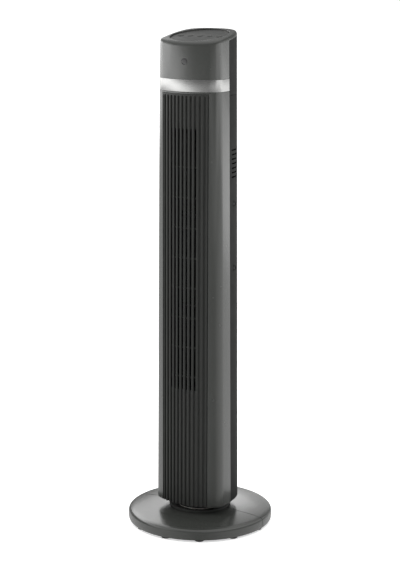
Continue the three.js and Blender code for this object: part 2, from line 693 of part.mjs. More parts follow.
/** Puts a body of revolution on the front of the head, its +Z pointing out along -Y. */
function irPlaced(body) {
  const y = -FRONT * depthScale(IR.z);
  return moved(body, new THREE.Matrix4().makeTranslation(IR.x, y, IR.z)
    .multiply(new THREE.Matrix4().makeRotationX(Math.PI / 2)));
}

function irWindow() {
  const lens = turned([
    [0, -IR.thickness], [IR.radius, -IR.thickness], [IR.radius, -0.3], [0, -0.1],
  ], 20);
  return piece('ir_window', blackPlastic, irPlaced(lens));
}

/** The raked controls, built flat and then turned as one group. */
function controls() {
  const group = new THREE.Group();
  group.applyMatrix4(TOP_PLACE);
  const spots = BUTTON_NAMES.map((name, i) =>
    [name, (i - (BUTTON_NAMES.length - 1) / 2) * BUTTON.pitch]);
  const underside = -OVAL.recess - OVAL.plate;
  const posts = [[-38, 18], [38, 18], [-38, -18], [38, -18]];

  const holes = spots.map(([, x]) => shifted(disc(BUTTON.radius + GAP, -20, 5, 16), x, BUTTON.y));
  const legs = posts.map(([x, y]) => shifted(disc(2.5, BOARD.top + GAP, underside + 1, 8), x, y));
  const plate = join(ovalBlock(-GAP, underside, -OVAL.recess), legs);
  group.add(piece('control_panel', blackPlastic, cut(plate, holes)));

  for (const [name, x] of spots) {
    const crown = -OVAL.recess + BUTTON.proud;
    const cap = turned([
      [0, underside - 2], [BUTTON.flange, underside - 2], [BUTTON.flange, underside - 0.4],
      [BUTTON.radius, underside - 0.4], [BUTTON.radius, crown], [0, crown],
    ], 16);
    group.add(piece(`${name}_button`, satinGrey, shifted(cap, x, BUTTON.y)));
  }

  const shape = new THREE.Shape();
  shape.absellipse(0, 0, BOARD.x, BOARD.y, 0, 2 * Math.PI);
  const board = new THREE.ExtrudeGeometry(shape, {
    depth: BOARD.thickness, bevelEnabled: false, curveSegments: 14,
  }).translate(0, 0, BOARD.top - BOARD.thickness);
  const switches = spots.map(([, x]) =>
    box([x - 3, BUTTON.y - 3, BOARD.top - 0.5], [x + 3, BUTTON.y + 3, underside - 3.2]));
  group.add(piece('control_board', laminate, join(solid(board), switches)));
  return group;
}

// ---------------------------------------------------------------- assembly

const fan = new THREE.Group();
const drive = swingDrive();
const motor = motorPieces();
const bearing = topBearing();

const pedestal = new THREE.Group();
pedestal.add(...baseHalves(), ballastPlate(), ...feet(), swivelPost(), ...postScrews());
pedestal.add(collarRing(), bearingWasher(), drive.wheel, cableGland());

const tower = new THREE.Group();
tower.add(towerBottomCap(), frontShell(), frontGrille(), rearShell(), ...shellScrews());
tower.add(drive.motor, drive.bracket, drive.pinion);
tower.add(lowerDeck(), upperDeck(), ...ductWalls(), ...motor.fixed, ...bearing.fixed);
tower.add(motorCapacitor(), metalBand(), headFrontShell(), headRearCover(), irWindow(), controls());

const impeller = new THREE.Group();
impeller.add(drum(), motor.rotor, bearing.shaft);
tower.add(impeller);

fan.add(pedestal, tower);

export default fan;
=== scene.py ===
"""The looks of a tower fan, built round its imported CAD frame.

Metres, +Z up. The air outlet faces -Y and the origin is on the floor, on the swing axis.
"""
import json
import math

import bmesh
import bpy
from mathutils import Matrix, Vector


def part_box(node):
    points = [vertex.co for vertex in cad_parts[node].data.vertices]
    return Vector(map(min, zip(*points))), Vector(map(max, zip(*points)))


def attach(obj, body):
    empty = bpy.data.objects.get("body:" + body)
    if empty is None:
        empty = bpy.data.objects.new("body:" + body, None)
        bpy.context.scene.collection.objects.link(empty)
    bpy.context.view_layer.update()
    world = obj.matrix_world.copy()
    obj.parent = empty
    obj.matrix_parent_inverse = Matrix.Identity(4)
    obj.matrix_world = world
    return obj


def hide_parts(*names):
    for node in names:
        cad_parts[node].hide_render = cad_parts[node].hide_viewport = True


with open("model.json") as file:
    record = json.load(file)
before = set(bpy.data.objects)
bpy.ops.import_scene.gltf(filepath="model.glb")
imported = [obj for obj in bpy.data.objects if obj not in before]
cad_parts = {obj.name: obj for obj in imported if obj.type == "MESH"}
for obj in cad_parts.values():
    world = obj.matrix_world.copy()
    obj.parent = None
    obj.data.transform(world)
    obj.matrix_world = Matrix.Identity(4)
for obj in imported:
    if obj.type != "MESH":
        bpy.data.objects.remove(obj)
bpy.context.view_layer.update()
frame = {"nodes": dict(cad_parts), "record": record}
MM = 0.001

# ---------------------------------------------------------------- camera

AZIMUTH = math.radians(30.5)
CAMERA_REACH = 3.271          # along the floor, from the swing axis
CAMERA_HEIGHT = 1.1876
CAMERA_PITCH = math.radians(10.25)
LENS = 102.6
SHIFT = -0.08


def make_camera():
    data = bpy.data.cameras.new("camera")
    data.lens = LENS
    data.sensor_width = 36
    data.shift_y = SHIFT
    camera = bpy.data.objects.new("camera", data)
    camera.location = (
        CAMERA_REACH * math.sin(AZIMUTH), -CAMERA_REACH * math.cos(AZIMUTH), CAMERA_HEIGHT,
    )
    camera.rotation_euler = (math.pi / 2 - CAMERA_PITCH, 0, AZIMUTH)
    bpy.context.scene.collection.objects.link(camera)
    bpy.context.scene.camera = camera


make_camera()

# ---------------------------------------------------------------- driving dimensions

GAP = 0.3 * MM
WALL = 2.5 * MM
FAR = 400 * MM             # half size of the blocks that cut pieces apart

HALF_WIDTH = 78 * MM
FRONT = 75 * MM
REAR = 72 * MM
PANEL_HALF = 55 * MM
FRONT_SAG = 14 * MM
CORNER = 22 * MM
REAR_POWER = 3.0
SEAM_Y = -6 * MM
BASE_JOINT = 1.1 * MM      # the open joint between the halves of the base
GLAND_Y = 147 * MM
FOOT_COUNT = 12
BAND_THICKNESS = 1.4 * MM

FLARE_FROM, FLARE_TO = 50 * MM, 1000 * MM
FLARE_SIDE = 7 * MM
FLARE_DEPTH = 0.1

TOP_FRONT = 1001 * MM
RAKE = math.radians(10)
TOP_ROUND = 8 * MM
RIM_DEPTH = 9 * MM

RIB_COUNT = 12
RIB_PITCH = 9.1 * MM
GROOVE_HALF = 1.85 * MM
GRILLE_HALF = 52.8 * MM
GRILLE_DEPTH = 6 * MM
GROOVE_DEPTH = 4 * MM
OUTLET_BOTTOM, OUTLET_TOP = 295 * MM, 830 * MM
OUTLET_HALF = 32 * MM
OUTLET_GAPS = 7
CROSS_BARS = 8
CROSS_BAR_FIRST = 323 * MM  # middle of the lowest bar
CROSS_BAR_PITCH = 61.4 * MM
CROSS_BAR_HEIGHT = 3 * MM

INTAKE_BOTTOM, INTAKE_TOP = 300 * MM, 816 * MM
INTAKE_TIERS, INTAKE_COLUMNS = 4, 10
INTAKE_PITCH = 8.5 * MM
INTAKE_WIDTH = 4.5 * MM
INTAKE_BAR = 10 * MM       # the solid strip between two tiers

FLANK_BOTTOM = 727.2 * MM
FLANK_ROWS = 7
FLANK_PITCH = 9.1 * MM
FLANK_HEIGHT = 3 * MM
FLANK_LENGTH = 30 * MM
FLANK_MIDDLE = 19 * MM     # behind the swing axis

SCREW_Y = 15 * MM
SCREW_HEIGHTS = (673.6 * MM, 541.7 * MM)

OVAL_X, OVAL_Y, OVAL_CENTRE = 61 * MM, 57 * MM, -1.5 * MM
OVAL_RECESS = 2.6 * MM
OVAL_PLATE = 2.3 * MM
OVAL_LEDGE = 3 * MM

BUTTONS = ("power", "speed", "mode", "swing", "timer")
BUTTON_PITCH = 22 * MM

# ---------------------------------------------------------------- shapes: (vertices, faces)


def loft(rings, closed=False):
    """A skin over rings of points; the ends are capped, or joined to each other if closed."""
    count = len(rings[0])
    verts = [point for ring in rings for point in ring]
    faces = []
    for k in range(len(rings) if closed else len(rings) - 1):
        low, high = k * count, ((k + 1) % len(rings)) * count
        for i in range(count):
            j = (i + 1) % count
            faces.append((low + i, low + j, high + j, high + i))
    if not closed:
        faces.append(tuple(reversed(range(count))))
        faces.append(tuple(range(len(verts) - count, len(verts))))
    return verts, faces


def merged(*shapes):
    verts, faces = [], []
    for more_verts, more_faces in shapes:
        start = len(verts)
        verts += more_verts
        faces += [tuple(start + i for i in face) for face in more_faces]
    return verts, faces


def placed(shape, matrix):
    verts, faces = shape
    return [matrix @ Vector(v) for v in verts], faces


def circle(radius, count=32):
    steps = (2 * math.pi * i / count for i in range(count))
    return [Vector((radius * math.cos(a), radius * math.sin(a))) for a in steps]


def inset_loop(loop, depth):
    """A flat counter-clockwise loop moved inwards by depth."""
    out = []
    for i, point in enumerate(loop):
        before = (point - loop[i - 1]).normalized()
        after = (loop[(i + 1) % len(loop)] - point).normalized()
        first, second = Vector((-before.y, before.x)), Vector((-after.y, after.x))
        middle = (first + second).normalized()
        out.append(point + middle * (depth / max(middle.dot(first), 0.5)))
    return out


def prism(loop, bottom, top, round_edge=0.0, steps=3, shape_at=None):
    """A flat loop raised from bottom to top with rounded rims. shape_at maps (x, y, z)."""
    shape_at = shape_at or (lambda x, y, z: Vector((x, y, z)))
    levels = []
    for k in range(steps + 1 if round_edge else 1):
        turn = math.pi / 2 * k / steps
        levels.append((round_edge * (1 - math.sin(turn)), round_edge * (1 - math.cos(turn))))
    rings = []
    for depth, rise in levels:
        rings.append([shape_at(p.x, p.y, bottom + rise) for p in inset_loop(loop, depth)])
    for depth, rise in reversed(levels):
        rings.append([shape_at(p.x, p.y, top - rise) for p in inset_loop(loop, depth)])
    return loft(rings)


def turned(profile, count=96, closed=False):
    """A body of revolution about Z from (radius, height) pairs."""
    rings = []
    for radius, z in profile:
        rings.append([Vector((p.x, p.y, z)) for p in circle(max(radius, 1e-5), count)])
    return loft(rings, closed)


def box_shape(low, high):
    loop = [Vector((low[0], low[1])), Vector((high[0], low[1])),
            Vector((high[0], high[1])), Vector((low[0], high[1]))]
    return prism(loop, low[2], high[2])


def arc_points(centre, radius, start, end, count):
    """Points along an arc, angles in degrees."""
    out = []
    for i in range(count + 1):
        angle = math.radians(start + (end - start) * i / count)
        out.append((centre[0] + radius * math.cos(angle), centre[1] + radius * math.sin(angle)))
    return out


def in_mm(points):
    """Pairs written in millimetres, as metres."""
    return [(a * MM, b * MM) for a, b in points]


# ---------------------------------------------------------------- objects


def mesh_object(name, shape):
    mesh = bpy.data.meshes.new(name)
    mesh.from_pydata([tuple(v) for v in shape[0]], [], shape[1])
    shaped = bmesh.new()
    shaped.from_mesh(mesh)
    bmesh.ops.remove_doubles(shaped, verts=shaped.verts, dist=1e-6)
    bmesh.ops.recalc_face_normals(shaped, faces=shaped.faces)
    shaped.to_mesh(mesh)
    shaped.free()
    obj = bpy.data.objects.new(name, mesh)
    bpy.context.scene.collection.objects.link(obj)
    return obj


def apply_modifiers(obj):
    bpy.context.view_layer.update()
    graph = bpy.context.evaluated_depsgraph_get()
    mesh = bpy.data.meshes.new_from_object(obj.evaluated_get(graph))
    old = obj.data
    obj.modifiers.clear()
    obj.data = mesh
    bpy.data.meshes.remove(old)


def carve(obj, operation, *shapes):
    """Joins, cuts or keeps (UNION, DIFFERENCE, INTERSECT) obj with each closed shape in turn."""
    for shape in shapes:
        tool = mesh_object("tool", shape)
        step = obj.modifiers.new("carve", "BOOLEAN")
        step.operation = operation
        step.solver = "MANIFOLD"
        step.object = tool
        apply_modifiers(obj)
        mesh = tool.data
        bpy.data.objects.remove(tool)
        bpy.data.meshes.remove(mesh)
    return obj


def softened(obj, width, angle=40):
    """A small bevel on the sharp edges that cuts have left."""
    step = obj.modifiers.new("edges", "BEVEL")
    step.width = width
    step.segments = 2
    step.limit_method = "ANGLE"
    step.angle_limit = math.radians(angle)
    step.use_clamp_overlap = True
    return obj


def dressed(obj, body, material, slot, *nodes, sharp=35):
    """Gives a finished piece its material and its place in the frame."""
    mesh = obj.data
    mesh.polygons.foreach_set("use_smooth", [True] * len(mesh.polygons))
    mesh.set_sharp_from_angle(angle=math.radians(sharp))
    mesh.materials.clear()
    mesh.materials.append(material)
    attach(obj, body)
    if nodes:
        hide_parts(*nodes)
    return obj


# ---------------------------------------------------------------- tower section


def spread(count, start, end):
    return [start + (end - start) * i / count for i in range(count + 1)]


def half_outline(front_steps=28, corner_steps=12, back_steps=30):
    """The tower's outline on the +X side, front to back, as (point, normal) pairs."""
    arc = (PANEL_HALF ** 2 + FRONT_SAG ** 2) / (2 * FRONT_SAG)
    edge = math.asin(PANEL_HALF / arc)
    turn = math.pi / 2 - edge
    run = (HALF_WIDTH - PANEL_HALF) / math.cos(edge)
    corner_y = -FRONT + FRONT_SAG + run * math.sin(edge) + CORNER * math.tan(turn / 2)
    pairs = []
    for a in spread(front_steps, 0, edge):
        normal = Vector((math.sin(a), -math.cos(a)))
        pairs.append((Vector((0, arc - FRONT)) + normal * arc, normal))
    for a in spread(corner_steps, -turn, 0):
        normal = Vector((math.cos(a), math.sin(a)))
        pairs.append((Vector((HALF_WIDTH - CORNER, corner_y)) + normal * CORNER, normal))
    depth = REAR - corner_y
    for a in spread(back_steps, 0, math.pi / 2)[1:]:
        x, y = math.cos(a) ** (2 / REAR_POWER), math.sin(a) ** (2 / REAR_POWER)
        normal = Vector((x ** (REAR_POWER - 1) / HALF_WIDTH, y ** (REAR_POWER - 1) / depth))
        pairs.append((Vector((HALF_WIDTH * x, corner_y + depth * y)), normal.normalized()))
    return pairs


HALF = half_outline()


def outline(inset=0.0):
    right = [point - normal * inset for point, normal in HALF]
    left = [Vector((-p.x, p.y)) for p in reversed(right[1:-1])]
    return right + left


def front_depth(x):
    """How far the front surface lies behind the foremost line, at x."""
    arc = (PANEL_HALF ** 2 + FRONT_SAG ** 2) / (2 * FRONT_SAG)
    return arc - math.sqrt(arc ** 2 - x ** 2)


def depth_scale(z):
    return 1 - FLARE_DEPTH * (z - FLARE_FROM) / (FLARE_TO - FLARE_FROM)


def flared(x, y, z):
    """The tower narrows a little towards its top."""
    rise = (z - FLARE_FROM) / (FLARE_TO - FLARE_FROM)
    beyond = max(abs(x) - PANEL_HALF, 0) / (HALF_WIDTH - PANEL_HALF)
    return Vector((x - math.copysign(beyond * FLARE_SIDE * rise, x), y * depth_scale(z), z))


def clipped(points, keep):
    """The run of outline points for which keep(point) is true, in order."""
    start = next(i for i in range(len(points)) if keep(points[i]) and not keep(points[i - 1]))
    turned_round = points[start:] + points[:start]
    return [p for p in turned_round if keep(p)]


def at_y(loop, y, sign):
    """The point where the outline crosses a line of constant y on one side."""
    for a, b in zip(loop, loop[1:] + loop[:1]):
        if (a.y - y) * (b.y - y) <= 0 and a.y != b.y and sign * a.x > 0:
            return a.lerp(b, (y - a.y) / (b.y - a.y))


def wall_loop(outer_inset, inner_inset, y, front):
    """A C-shaped loop: the part of the tower's wall before or behind a line of constant y."""
    keep = (lambda p: p.y < y) if front else (lambda p: p.y > y)
    first, last = (-1, 1) if front else (1, -1)
    lines = []
    for inset in (outer_inset, inner_inset):
        loop = outline(inset)
        lines.append([at_y(loop, y, first)] + clipped(loop, keep) + [at_y(loop, y, last)])
    return lines[0] + lines[1][::-1]


# ---------------------------------------------------------------- materials


class Nodes:
    """A short way to write a material's node tree."""

    def __init__(self, name):
        self.material = bpy.data.materials.new(name)
        self.material.use_nodes = True
        self.tree = self.material.node_tree
        self.shader = self.tree.nodes["Principled BSDF"]
        self.coords = self.tree.nodes.new("ShaderNodeTexCoord").outputs["Object"]

    def add(self, kind, **values):
        node = self.tree.nodes.new(kind)
        for key, value in values.items():
            if key in node.inputs:
                node.inputs[key].default_value = value
            else:
                setattr(node, key, value)
        return node

    def link(self, source, target):
        self.tree.links.new(source, target)

    def noise(self, scale, detail=3.0, stretch=(1, 1, 1)):
        mapping = self.add("ShaderNodeMapping")
        mapping.inputs["Scale"].default_value = stretch
        self.link(self.coords, mapping.inputs["Vector"])
        noise = self.add("ShaderNodeTexNoise", Scale=scale, Detail=detail)
        self.link(mapping.outputs["Vector"], noise.inputs["Vector"])
        return noise.outputs["Fac"]

    def ramp(self, source, low, high, start=0.3, end=0.7):
        ramp = self.add("ShaderNodeValToRGB")
        ramp.color_ramp.elements[0].position = start
        ramp.color_ramp.elements[1].position = end
        ramp.color_ramp.elements[0].color = (*low, 1)
        ramp.color_ramp.elements[1].color = (*high, 1)
        self.link(source, ramp.inputs["Fac"])
        return ramp.outputs["Color"]

    def span(self, source, low, high):
        node = self.add("ShaderNodeMapRange")
        node.inputs["To Min"].default_value = low
        node.inputs["To Max"].default_value = high
        self.link(source, node.inputs["Value"])
        return node.outputs["Result"]

    def bump(self, height, strength, distance):
        node = self.add("ShaderNodeBump", Strength=strength, Distance=distance)
        self.link(height, node.inputs["Height"])
        self.link(node.outputs["Normal"], self.shader.inputs["Normal"])

    def set(self, **values):
        for key, value in values.items():
            self.shader.inputs[key.replace("_", " ")].default_value = value


def shade(colour, factor):
    return tuple(min(channel * factor, 1) for channel in colour)


def plastic(name, colour, roughness, grain, grain_scale, coat=0.0, ior=1.5):
    """Moulded plastic: a slight drift of colour and gloss, and a fine moulded grain."""
    n = Nodes(name)
    drift = n.noise(9, 4)
    n.link(n.ramp(drift, shade(colour, 0.94), shade(colour, 1.06)), n.shader.inputs["Base Color"])
    n.link(n.span(n.noise(60, 4), roughness * 0.88, roughness * 1.12), n.shader.inputs["Roughness"])
    n.bump(n.noise(grain_scale, 2), grain, 0.02 * MM)
    n.set(IOR=ior, Coat_Weight=coat, Coat_Roughness=0.08)
    return n.material


def brushed(name, colour, roughness, stretch, anisotropy=0.6):
    """Brushed metal: streaks along one direction in colour, gloss and height."""
    n = Nodes(name)
    streaks = n.noise(140, 5, stretch)
    n.link(n.ramp(streaks, shade(colour, 0.88), shade(colour, 1.08)), n.shader.inputs["Base Color"])
    n.link(n.span(streaks, roughness * 0.8, roughness * 1.25), n.shader.inputs["Roughness"])
    n.bump(n.noise(420, 3, stretch), 0.25, 0.02 * MM)
    n.set(Metallic=1.0, Anisotropic=anisotropy)
    return n.material


def cast(name, colour, roughness, metallic):
    """Cast, plated or sintered stock: a mottled, pitted surface."""
    n = Nodes(name)
    mottle = n.noise(55, 5)
    n.link(n.ramp(mottle, shade(colour, 0.82), shade(colour, 1.1)), n.shader.inputs["Base Color"])
    n.link(n.span(n.noise(150, 3), roughness * 0.8, roughness * 1.2), n.shader.inputs["Roughness"])
    n.bump(n.noise(700, 3), 0.2, 0.03 * MM)
    n.set(Metallic=metallic)
    return n.material


GLOSS = (0.036, 0.0380, 0.0348)
SATIN = (0.022, 0.0232, 0.0212)
MATTE = (0.016, 0.0168, 0.0160)

gloss_shell = plastic("gloss_shell", GLOSS, 0.26, 0.04, 900, coat=0.15)
# Painted shade: the base is the same gloss moulding as the tower, but takes a darker copy of its colour
# to tone down the ceiling light on its top.
base_shell_painted_shade = plastic("base_shell_painted_shade", shade(GLOSS, 0.95), 0.24, 0.03, 500, coat=0.08)
satin_shell = plastic("satin_shell", SATIN, 0.55, 0.1, 1400, ior=1.36)
matte_shell = plastic("matte_shell", MATTE, 0.75, 0.35, 1800, ior=1.25)
black_moulding = plastic("black_moulding", (0.012, 0.012, 0.013), 0.5, 0.2, 1500)
panel_face = plastic("panel_face", (0.040, 0.0417, 0.0393), 0.42, 0.05, 1200)
# Painted light: the key caps are satin mouldings but take a lighter colour than the satin shell, to lift
# the shade round them in their wells.
button_cap_painted_light = plastic("button_cap_painted_light", (0.058, 0.060, 0.0572), 0.5, 0.06, 1300)
lens_black = plastic("lens_black", (0.014, 0.013, 0.014), 0.3, 0.02, 700)
white_nylon = plastic("white_nylon", (0.70, 0.69, 0.64), 0.45, 0.15, 900)
circuit_laminate = plastic("circuit_laminate", (0.02, 0.12, 0.05), 0.4, 0.15, 1300)
black_rubber = plastic("black_rubber", (0.018, 0.018, 0.018), 0.85, 0.4, 1200)
brushed_band = brushed("brushed_band", (0.29, 0.29, 0.286), 0.28, (1, 1, 26))
zinc_steel = cast("zinc_steel", (0.52, 0.53, 0.54), 0.34, 1.0)
black_zinc = cast("black_zinc", (0.10, 0.10, 0.105), 0.42, 1.0)
cast_cap = cast("cast_cap", (0.6, 0.61, 0.62), 0.5, 1.0)
bronze = cast("bronze", (0.5, 0.33, 0.14), 0.42, 1.0)

SLOT_MATERIALS = {
    "gloss_shell": gloss_shell, "satin_shell": satin_shell, "matte_shell": matte_shell,
    "brushed_band": brushed_band, "black_moulding": black_moulding, "white_nylon": white_nylon,
    "zinc_steel": zinc_steel, "cast_cap": cast_cap, "bronze": bronze,
    "black_rubber": black_rubber, "circuit_laminate": circuit_laminate,
}


def dress_cad_nodes():
    for row in frame["record"]["subparts"]:
        node = frame["nodes"][row["node"]]
        node.data.materials.clear()
        node.data.materials.append(SLOT_MATERIALS[row["material_slot"]])


# ---------------------------------------------------------------- pedestal


def base_profile():
    """The pedestal's shell: a rounded outer edge, a dished top, the ledge under the collar."""
    inner, ledge = 63.3, 30.7
    shoulder = arc_points((143.2, 19.6), 6.8, 0, 72, 9)
    points = [(145.2, 4.0), (147.6, 4.0), (148.3, 4.3)]
    points += [(149.4, 6.6), (150.0, 9.5)] + shoulder
    points += [(137, 27.3), (120, 29.3), (100, 31.0), (80, 32.4), (65.2, 33.3)]
    points += [(64.0, 33.2), (inner, 32.6), (inner, ledge), (50, ledge), (50, ledge - 2.5)]
    points += [(80, 29.9), (110, 28.0), (140, 24.6), (144.6, 22.6), (147.0, 19.0), (147.4, 9.5)]
    return in_mm(points)


def build_base():
    for name, low, high in (
        ("base_front_half", (-FAR, -FAR, -FAR), (FAR, -BASE_JOINT / 2, FAR)),
        ("base_rear_half", (-FAR, BASE_JOINT / 2, -FAR), (FAR, FAR, FAR)),
    ):
        half = mesh_object(name + "_shell", turned(base_profile(), 224, closed=True))
        carve(half, "INTERSECT", box_shape(low, high))
        if name == "base_rear_half":
            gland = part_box("cable_gland")
            middle = (gland[0] + gland[1]) / 2
            place = Matrix.Translation((0, GLAND_Y, middle.z)) @ Matrix.Rotation(math.pi / 2, 4, "X")
            carve(half, "DIFFERENCE", placed(turned(in_mm([(6.8, -20), (6.8, 20)]), 48), place))
        softened(half, 0.35 * MM, 50)
        # the base's gloss colour is a darker copy with painted shade
        dressed(half, "base", base_shell_painted_shade, "gloss_shell", name)


def build_collar():
    points = [(24.5, 31), (63, 31), (63, 35.6)] + arc_points((61.1, 35.6), 1.9, 0, 90, 6)
    points += [(58.4, 37.5), (57.6, 37.2), (56.6, 36.2), (55.4, 34.4), (54.6, 34), (24.5, 34)]
    ring = turned(in_mm(points), 160, closed=True)
    dressed(mesh_object("collar", ring), "base", satin_shell, "satin_shell", "collar_ring")


def build_feet():
    """Rubber pads with a rounded rim, each on a spigot through the ballast plate."""
    profile = [(0, 0), (7.6, 0)] + arc_points((8.2, 1.3), 1.3, -90, 0, 5)
    profile += [(9.5, 3.2), (9.1, 3.6), (4.0, 3.6), (4.0, 9.1), (3.6, 9.5), (0, 9.5)]
    pad = turned(in_mm(profile), 40)
    for i in range(1, FOOT_COUNT + 1):
        node = f"foot_{i:02d}"
        low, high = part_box(node)
        place = Matrix.Translation(((low.x + high.x) / 2, (low.y + high.y) / 2, 0))
        foot = mesh_object(f"rubber_{node}", placed(pad, place))
        dressed(foot, "base", black_rubber, "black_rubber", node)


# ---------------------------------------------------------------- tower mouldings


def front_loop():
    """Plan of the front shell: side panels, and the pan behind the ribbed grille."""
    mouth = GRILLE_HALF + GAP
    lip = 1.0 * MM
    pan = GRILLE_DEPTH + GAP
    outer = wall_loop(0, WALL, SEAM_Y - GAP / 2, True)
    count = len(outer) // 2
    skin = [p for p in outer[:count] if abs(p.x) > mouth + lip + 1.5 * MM]
    inner = [p for p in outer[count:] if abs(p.x) > GRILLE_HALF + 4.2 * MM]
    left = [p for p in skin if p.x < 0]
    right = [p for p in skin if p.x > 0]

    def front_y(x):
        return -FRONT + front_depth(x)

    edge = []
    for share in spread(5, 0, 1):
        turn = share * math.pi / 2
        x = mouth + lip * (1 - math.sin(turn))
        edge.append(Vector((-x, front_y(x) + lip * (1 - math.cos(turn)))))
    floor_x = spread(20, -mouth, mouth)
    floor = [Vector((x, front_y(x) + pan)) for x in floor_x]
    mirrored = [Vector((-p.x, p.y)) for p in reversed(edge)]
    back_half = GRILLE_HALF + 3 * MM
    back = [Vector((x, front_y(x) + pan + 2.2 * MM)) for x in spread(20, back_half, -back_half)]
    inner_right = [p for p in inner if p.x > 0]
    inner_left = [p for p in inner if p.x < 0]
    return left + edge + floor + mirrored + right + inner_right + back + inner_left


def build_front_shell():
    low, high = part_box("front_shell")
    mouth_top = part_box("front_grille")[1].z + GAP
    shell = mesh_object("front_cover", prism(front_loop(), low.z, high.z, 0.5 * MM, 3, flared))
    bridge_loop = [p for p in outline(0) if p.y < 0 and abs(p.x) < PANEL_HALF + 2.2 * MM]
    bridge_back = [p for p in outline(8.4 * MM) if p.y < 0 and abs(p.x) < PANEL_HALF + 2.2 * MM]
    bridge_loop = sorted(bridge_loop, key=lambda p: p.x)
    bridge_back = sorted(bridge_back, key=lambda p: -p.x)
    bridge = prism(bridge_loop + bridge_back, mouth_top, high.z, 0.5 * MM, 3, flared)
    carve(shell, "UNION", bridge)
    half = OUTLET_HALF + 0.2 * MM
    opening = box_shape((-half, -200 * MM, OUTLET_BOTTOM - MM), (half, -30 * MM, OUTLET_TOP + MM))
    carve(shell, "DIFFERENCE", opening)
    dressed(shell, "tower", gloss_shell, "gloss_shell", "front_shell")


def groove_cutter(centre, bottom, top, floor, half=GROOVE_HALF, crown=2.5 * MM):
    """A trench between two ribs: it widens to round the ribs' crowns, and its top end fades."""
    section = [(-half + 0.4 * MM, floor), (half - 0.4 * MM, floor)]
    section += [(half, floor - 0.5 * MM), (half, crown)]
    section += [(half + crown * (1 - math.cos(t)), crown * (1 - math.sin(t)))
                for t in spread(5, 0, math.pi / 2)[1:]]
    left = [(-x, d) for x, d in reversed(section[2:])]
    full = section + [(half + crown, -2 * MM), (-half - crown, -2 * MM)] + left
    rings = []
    fade = 5 * MM
    for z, size in [(bottom, 1.0)] + [
        (top - fade + fade * math.sin(t), math.cos(t)) for t in spread(6, 0, math.pi / 2 * 0.97)
    ]:
        ring = []
        for x, d in full:
            px = centre + x * (0.35 + 0.65 * size)
            depth = d * size if d > 0 else d
            ring.append(flared(px, -FRONT + front_depth(min(abs(px), 0.06)) + depth, z))
        rings.append(ring)
    return loft(rings)


def slot_cutter(centre, bottom, top, half):
    """A slot through the panel between two ribs: its ends are rounded, and it widens to the back."""
    back = half + 1.3 * MM
    rings = []
    for z, size in [(bottom, 0.35), (bottom + 0.8 * MM, 0.8), (bottom + 2 * MM, 1.0),
                    (top - 2 * MM, 1.0), (top - 0.8 * MM, 0.8), (top, 0.35)]:
        ring = []
        for x, depth in ((-half, -8 * MM), (half, -8 * MM), (half, 1 * MM), (back, GRILLE_DEPTH),
                         (back, 20 * MM), (-back, 20 * MM), (-back, GRILLE_DEPTH), (-half, 1 * MM)):
            px = centre + x * size
            ring.append(flared(px, -FRONT + front_depth(px) + depth, z))
        rings.append(ring)
    return loft(rings)


def build_grille():
    low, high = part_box("front_grille")
    xs = spread(44, -GRILLE_HALF, GRILLE_HALF)
    front_line = [Vector((x, -FRONT + front_depth(x))) for x in xs]
    back_line = [Vector((x, -FRONT + front_depth(x) + GRILLE_DEPTH)) for x in reversed(xs)]
    blank = prism(front_line + back_line, low.z, high.z, 0.4 * MM, 2, flared)
    panel = mesh_object("ribbed_grille", blank)
    reach = (RIB_COUNT - 2) // 2
    grooves = [groove_cutter(i * RIB_PITCH, low.z - 5 * MM, high.z - 3.2 * MM, GROOVE_DEPTH)
               for i in range(-reach, reach + 1)]
    border = GRILLE_HALF + 0.9 * MM
    grooves += [groove_cutter(sign * border, low.z - 5 * MM, high.z - 3.2 * MM, GROOVE_DEPTH, 2.1 * MM)
                for sign in (-1, 1)]
    carve(panel, "DIFFERENCE", *grooves)
    gaps = (OUTLET_GAPS - 1) // 2
    slots = [slot_cutter(i * RIB_PITCH, OUTLET_BOTTOM, OUTLET_TOP, GROOVE_HALF)
             for i in range(-gaps, gaps + 1)]
    carve(panel, "DIFFERENCE", merged(*slots))
    bars = []
    reach_x = RIB_PITCH * OUTLET_GAPS / 2
    bar_xs = spread(20, -reach_x, reach_x)
    for i in range(CROSS_BARS):
        z = CROSS_BAR_FIRST + CROSS_BAR_PITCH * i
        front = [Vector((x, -FRONT + front_depth(x) + GROOVE_DEPTH + 0.4 * MM)) for x in bar_xs]
        back = [Vector((x, -FRONT + front_depth(x) + GRILLE_DEPTH - 0.4 * MM)) for x in reversed(bar_xs)]
        low_z, high_z = z - CROSS_BAR_HEIGHT / 2, z + CROSS_BAR_HEIGHT / 2
        bars.append(prism(front + back, low_z, high_z, 0.3 * MM, 2, flared))
    carve(panel, "UNION", merged(*bars))
    dressed(panel, "tower", satin_shell, "satin_shell", "front_grille", sharp=42)


def side_x(z):
    return HALF_WIDTH - FLARE_SIDE * (z - FLARE_FROM) / (FLARE_TO - FLARE_FROM)


def side_place(sign, z):
    """The frame of a screw in the tower's side, its +Z pointing out."""
    spot = Matrix.Translation((sign * side_x(z), SCREW_Y, z))
    return spot @ Matrix.Rotation(sign * math.pi / 2, 4, "Y")


def rounded_slot(width, height, depth_low, depth_high):
    """A slot with round ends: width along X, height along Y, cutting along Z."""
    radius = min(width, height) / 2
    half = abs(width - height) / 2
    loop = []
    for centre, start in ((half, -90), (-half, 90)):
        loop += [Vector(p) for p in arc_points((centre, 0), radius, start, start + 180, 8)]
    return prism(loop, depth_low, depth_high)


